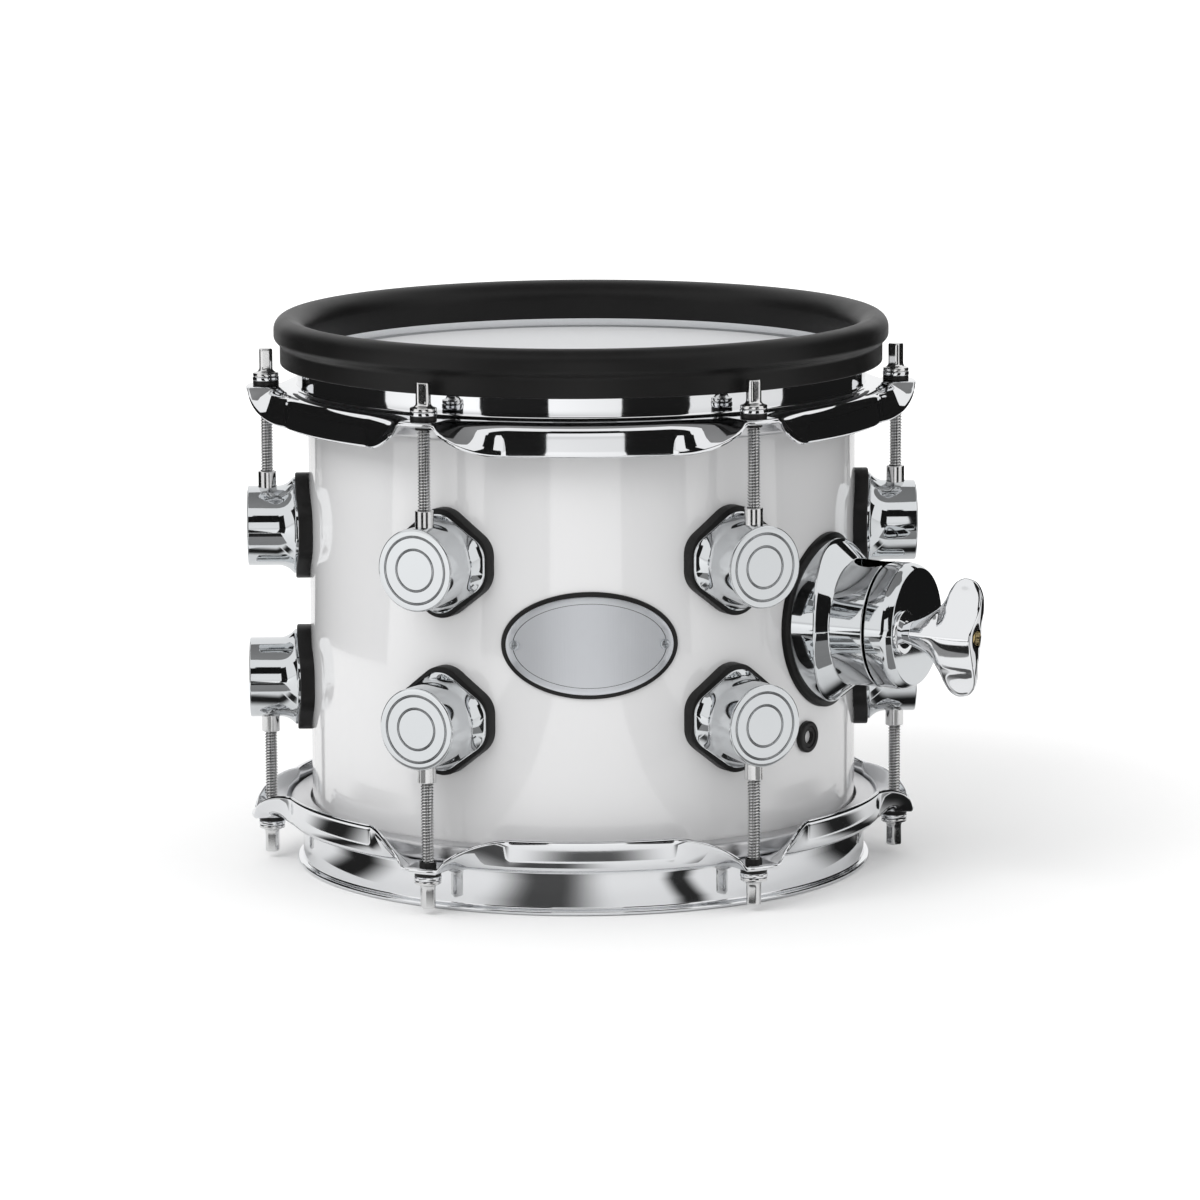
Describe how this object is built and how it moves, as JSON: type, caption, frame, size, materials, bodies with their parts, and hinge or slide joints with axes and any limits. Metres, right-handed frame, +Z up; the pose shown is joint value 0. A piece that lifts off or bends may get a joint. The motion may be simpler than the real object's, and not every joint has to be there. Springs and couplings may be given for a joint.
{
  "type": "electronic tom drum",
  "caption": "Small electronic tom: lacquered wooden shell, mesh head with rubber-covered hoop, lugs with screw tension rods, trigger inside, tube clamp bracket and jack.",
  "frame": {"origin": "centre of the lower hoop's lip, on the plane that the drum stands on", "axes": "+Z up along the shell's axis, the badge faces -Y, the bracket lies towards +X"},
  "size_m": [0.3331, 0.287, 0.2559],
  "materials": {
    "white_lacquer": "high-gloss white lacquer over a plied maple shell",
    "chrome_plate": "bright chrome plate",
    "black_rubber": "moulded satin black rubber",
    "mesh_white": "woven white polyester mesh",
    "film_white": "coated white polyester film",
    "aluminium_bright": "rolled aluminium, mill finish",
    "zinc_steel": "zinc-plated steel",
    "rod_steel": "nickel-plated steel with a rolled thread",
    "black_nylon": "black nylon",
    "badge_aluminium": "brushed aluminium",
    "brass": "turned brass",
    "cable_grey": "two-core screened lead",
    "foam_grey": "open-cell foam"
  },
  "bodies": {
    "drum": {"shell": "white_lacquer", "batter_mesh": "mesh_white", "batter_flesh_hoop": "aluminium_bright", "batter_hoop": "chrome_plate", "hoop_rubber": "black_rubber", "resonant_head": "film_white", "resonant_flesh_hoop": "aluminium_bright", "resonant_hoop": "chrome_plate", "batter_lugs": "chrome_plate", "resonant_lugs": "chrome_plate", "lug_gaskets": "black_rubber", "lug_nuts": "zinc_steel", "lug_screws": "zinc_steel", "batter_rod_bushes": "black_nylon", "resonant_rod_bushes": "black_nylon", "badge_border": "black_nylon", "badge_plate": "badge_aluminium", "badge_screws": "zinc_steel", "bracket_gasket": "black_rubber", "bracket_base": "chrome_plate", "bracket_stud": "brass", "bracket_guide_pin": "zinc_steel", "bracket_backing_plate": "zinc_steel", "bracket_bolts": "zinc_steel", "jack_body": "black_nylon", "jack_ring": "black_nylon", "trigger_bridge": "aluminium_bright", "trigger_isolators": "black_rubber", "trigger_plate": "aluminium_bright", "trigger_piezo": "brass", "trigger_cone": "foam_grey", "rim_piezo": "brass", "wiring": "cable_grey"},
    "batter_washer_1": {"batter_washer_1": "rod_steel"},
    "batter_rod_1": {"batter_rod_1": "rod_steel"},
    "batter_washer_2": {"batter_washer_2": "rod_steel"},
    "batter_rod_2": {"batter_rod_2": "rod_steel"},
    "batter_washer_3": {"batter_washer_3": "rod_steel"},
    "batter_rod_3": {"batter_rod_3": "rod_steel"},
    "batter_washer_4": {"batter_washer_4": "rod_steel"},
    "batter_rod_4": {"batter_rod_4": "rod_steel"},
    "batter_washer_5": {"batter_washer_5": "rod_steel"},
    "batter_rod_5": {"batter_rod_5": "rod_steel"},
    "batter_washer_6": {"batter_washer_6": "rod_steel"},
    "batter_rod_6": {"batter_rod_6": "rod_steel"},
    "resonant_washer_1": {"resonant_washer_1": "rod_steel"},
    "resonant_rod_1": {"resonant_rod_1": "rod_steel"},
    "resonant_washer_2": {"resonant_washer_2": "rod_steel"},
    "resonant_rod_2": {"resonant_rod_2": "rod_steel"},
    "resonant_washer_3": {"resonant_washer_3": "rod_steel"},
    "resonant_rod_3": {"resonant_rod_3": "rod_steel"},
    "resonant_washer_4": {"resonant_washer_4": "rod_steel"},
    "resonant_rod_4": {"resonant_rod_4": "rod_steel"},
    "resonant_washer_5": {"resonant_washer_5": "rod_steel"},
    "resonant_rod_5": {"resonant_rod_5": "rod_steel"},
    "resonant_washer_6": {"resonant_washer_6": "rod_steel"},
    "resonant_rod_6": {"resonant_rod_6": "rod_steel"},
    "jaw": {"bracket_jaw": "chrome_plate", "wing_ring": "chrome_plate"},
    "wing": {"wing_nut": "chrome_plate"}
  },
  "joints": [
    {"name": "batter_rise_1", "type": "slide", "parent": "drum", "child": "batter_washer_1", "axis": [0, 0, 1], "range_m": [0, 0.008]},
    {"name": "batter_turn_1", "type": "hinge", "parent": "batter_washer_1", "child": "batter_rod_1", "pos_m": [0.0731, -0.12661, 0.12175], "axis": [0, 0, 1], "range_deg": [0, 2117.66]},
    {"name": "batter_rise_2", "type": "slide", "parent": "drum", "child": "batter_washer_2", "axis": [0, 0, 1], "range_m": [0, 0.008]},
    {"name": "batter_turn_2", "type": "hinge", "parent": "batter_washer_2", "child": "batter_rod_2", "pos_m": [0.1462, 0, 0.12175], "axis": [0, 0, 1], "range_deg": [0, 2117.66]},
    {"name": "batter_rise_3", "type": "slide", "parent": "drum", "child": "batter_washer_3", "axis": [0, 0, 1], "range_m": [0, 0.008]},
    {"name": "batter_turn_3", "type": "hinge", "parent": "batter_washer_3", "child": "batter_rod_3", "pos_m": [0.0731, 0.12661, 0.12175], "axis": [0, 0, 1], "range_deg": [0, 2117.66]},
    {"name": "batter_rise_4", "type": "slide", "parent": "drum", "child": "batter_washer_4", "axis": [0, 0, 1], "range_m": [0, 0.008]},
    {"name": "batter_turn_4", "type": "hinge", "parent": "batter_washer_4", "child": "batter_rod_4", "pos_m": [-0.0731, 0.12661, 0.12175], "axis": [0, 0, 1], "range_deg": [0, 2117.66]},
    {"name": "batter_rise_5", "type": "slide", "parent": "drum", "child": "batter_washer_5", "axis": [0, 0, 1], "range_m": [0, 0.008]},
    {"name": "batter_turn_5", "type": "hinge", "parent": "batter_washer_5", "child": "batter_rod_5", "pos_m": [-0.1462, 0, 0.12175], "axis": [0, 0, 1], "range_deg": [0, 2117.66]},
    {"name": "batter_rise_6", "type": "slide", "parent": "drum", "child": "batter_washer_6", "axis": [0, 0, 1], "range_m": [0, 0.008]},
    {"name": "batter_turn_6", "type": "hinge", "parent": "batter_washer_6", "child": "batter_rod_6", "pos_m": [-0.0731, -0.12661, 0.12175], "axis": [0, 0, 1], "range_deg": [0, 2117.66]},
    {"name": "resonant_rise_1", "type": "slide", "parent": "drum", "child": "resonant_washer_1", "axis": [0, 0, -1], "range_m": [0, 0.008]},
    {"name": "resonant_turn_1", "type": "hinge", "parent": "resonant_washer_1", "child": "resonant_rod_1", "pos_m": [0.0731, -0.12661, 0.12175], "axis": [0, 0, -1], "range_deg": [0, 2117.66]},
    {"name": "resonant_rise_2", "type": "slide", "parent": "drum", "child": "resonant_washer_2", "axis": [0, 0, -1], "range_m": [0, 0.008]},
    {"name": "resonant_turn_2", "type": "hinge", "parent": "resonant_washer_2", "child": "resonant_rod_2", "pos_m": [0.1462, 0, 0.12175], "axis": [0, 0, -1], "range_deg": [0, 2117.66]},
    {"name": "resonant_rise_3", "type": "slide", "parent": "drum", "child": "resonant_washer_3", "axis": [0, 0, -1], "range_m": [0, 0.008]},
    {"name": "resonant_turn_3", "type": "hinge", "parent": "resonant_washer_3", "child": "resonant_rod_3", "pos_m": [0.0731, 0.12661, 0.12175], "axis": [0, 0, -1], "range_deg": [0, 2117.66]},
    {"name": "resonant_rise_4", "type": "slide", "parent": "drum", "child": "resonant_washer_4", "axis": [0, 0, -1], "range_m": [0, 0.008]},
    {"name": "resonant_turn_4", "type": "hinge", "parent": "resonant_washer_4", "child": "resonant_rod_4", "pos_m": [-0.0731, 0.12661, 0.12175], "axis": [0, 0, -1], "range_deg": [0, 2117.66]},
    {"name": "resonant_rise_5", "type": "slide", "parent": "drum", "child": "resonant_washer_5", "axis": [0, 0, -1], "range_m": [0, 0.008]},
    {"name": "resonant_turn_5", "type": "hinge", "parent": "resonant_washer_5", "child": "resonant_rod_5", "pos_m": [-0.1462, 0, 0.12175], "axis": [0, 0, -1], "range_deg": [0, 2117.66]},
    {"name": "resonant_rise_6", "type": "slide", "parent": "drum", "child": "resonant_washer_6", "axis": [0, 0, -1], "range_m": [0, 0.008]},
    {"name": "resonant_turn_6", "type": "hinge", "parent": "resonant_washer_6", "child": "resonant_rod_6", "pos_m": [-0.0731, -0.12661, 0.12175], "axis": [0, 0, -1], "range_deg": [0, 2117.66]},
    {"name": "jaw_open", "type": "slide", "parent": "drum", "child": "jaw", "axis": [0.866, -0.5, 0], "range_m": [0, 0.006]},
    {"name": "wing_turn", "type": "hinge", "parent": "jaw", "child": "wing", "pos_m": [0.15654, -0.10886, 0.12175], "axis": [0.866, -0.5, 0], "range_deg": [0, 1728.01]}
  ],
  "couplings": [
    {"joint": "batter_turn_1", "follows": "batter_rise_1", "rad_per_m": 4620},
    {"joint": "batter_turn_2", "follows": "batter_rise_2", "rad_per_m": 4620},
    {"joint": "batter_turn_3", "follows": "batter_rise_3", "rad_per_m": 4620},
    {"joint": "batter_turn_4", "follows": "batter_rise_4", "rad_per_m": 4620},
    {"joint": "batter_turn_5", "follows": "batter_rise_5", "rad_per_m": 4620},
    {"joint": "batter_turn_6", "follows": "batter_rise_6", "rad_per_m": 4620},
    {"joint": "resonant_turn_1", "follows": "resonant_rise_1", "rad_per_m": 4620},
    {"joint": "resonant_turn_2", "follows": "resonant_rise_2", "rad_per_m": 4620},
    {"joint": "resonant_turn_3", "follows": "resonant_rise_3", "rad_per_m": 4620},
    {"joint": "resonant_turn_4", "follows": "resonant_rise_4", "rad_per_m": 4620},
    {"joint": "resonant_turn_5", "follows": "resonant_rise_5", "rad_per_m": 4620},
    {"joint": "resonant_turn_6", "follows": "resonant_rise_6", "rad_per_m": 4620},
    {"joint": "wing_turn", "follows": "jaw_open", "rad_per_m": 5026.5}
  ]
}
